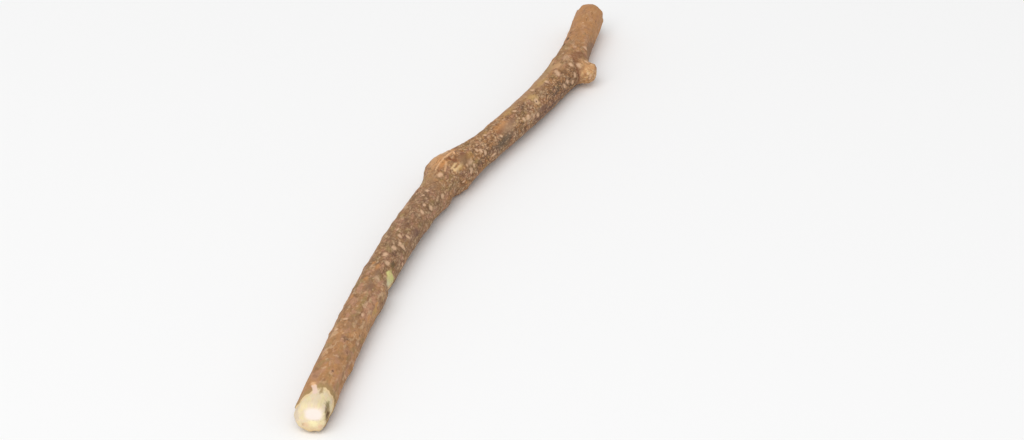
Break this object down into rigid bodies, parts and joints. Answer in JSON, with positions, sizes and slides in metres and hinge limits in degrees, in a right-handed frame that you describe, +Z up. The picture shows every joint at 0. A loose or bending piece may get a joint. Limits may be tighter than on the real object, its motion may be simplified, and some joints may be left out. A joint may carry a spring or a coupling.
{
  "type": "silver vine stick",
  "caption": "Short length of vine wood with its bark on, gently bent at its nodes, with a torn leaf scar, a side-shoot stub, one whittled end and one sawn end, for a cat to chew",
  "frame": {"origin": "on the surface that the stick lies on, under the middle of the box round it", "axes": "+X runs along the stick from its whittled end to its sawn end, +Y is the side of the torn leaf scar, +Z is up"},
  "size_m": [0.1518, 0.0174, 0.0076],
  "materials": {
    "barked_wood": "dry matt bark, brown to orange-tan with paler raised pores, and bare cream wood at the cut ends"
  },
  "bodies": {
    "root": {"stick": "barked_wood"}
  },
  "joints": []
}
